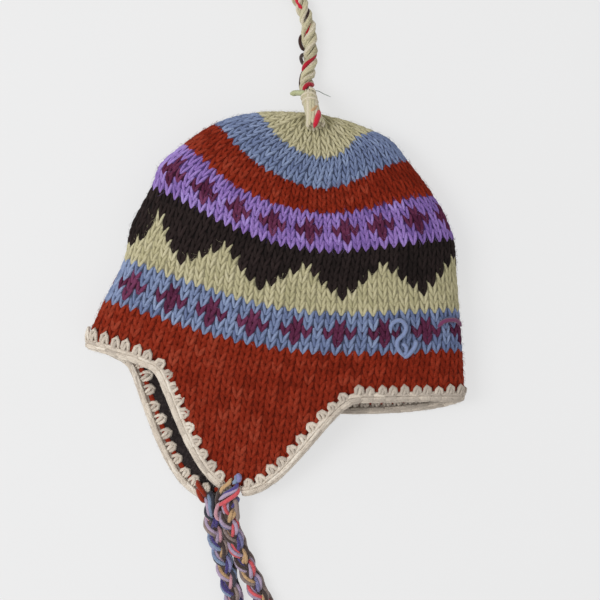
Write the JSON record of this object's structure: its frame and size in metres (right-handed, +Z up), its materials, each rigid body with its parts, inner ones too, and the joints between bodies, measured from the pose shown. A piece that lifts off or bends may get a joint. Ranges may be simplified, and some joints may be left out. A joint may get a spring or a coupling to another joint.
{
  "type": "chullo hat, lying flat",
  "caption": "Hand-knitted chullo hat with ear flaps, crocheted cream edge, twisted top cord and flap braids, lying flat.",
  "frame": {"origin": "on the flat underside of the far layer, under the middle of the crown", "axes": "+Z up from the surface it lies on, +Y from the ear flaps to the top cord, +X to the right seen from above"},
  "size_m": [0.2713, 0.5188, 0.045],
  "materials": {
    "rust_wool": "matte",
    "charcoal_fleece": "matte",
    "cream_wool": "matte",
    "khaki_wool": "matte",
    "mixed_wool": "matte"
  },
  "bodies": {
    "root": {"knit_shell": "rust_wool", "fleece_lining": "charcoal_fleece", "crochet_edging": "cream_wool", "top_cord_base": "khaki_wool", "top_cord": "khaki_wool", "top_cord_knot": "khaki_wool", "near_flap_braid": "mixed_wool", "near_braid_knot": "mixed_wool", "far_flap_braid": "mixed_wool", "far_braid_knot": "mixed_wool"}
  },
  "joints": []
}
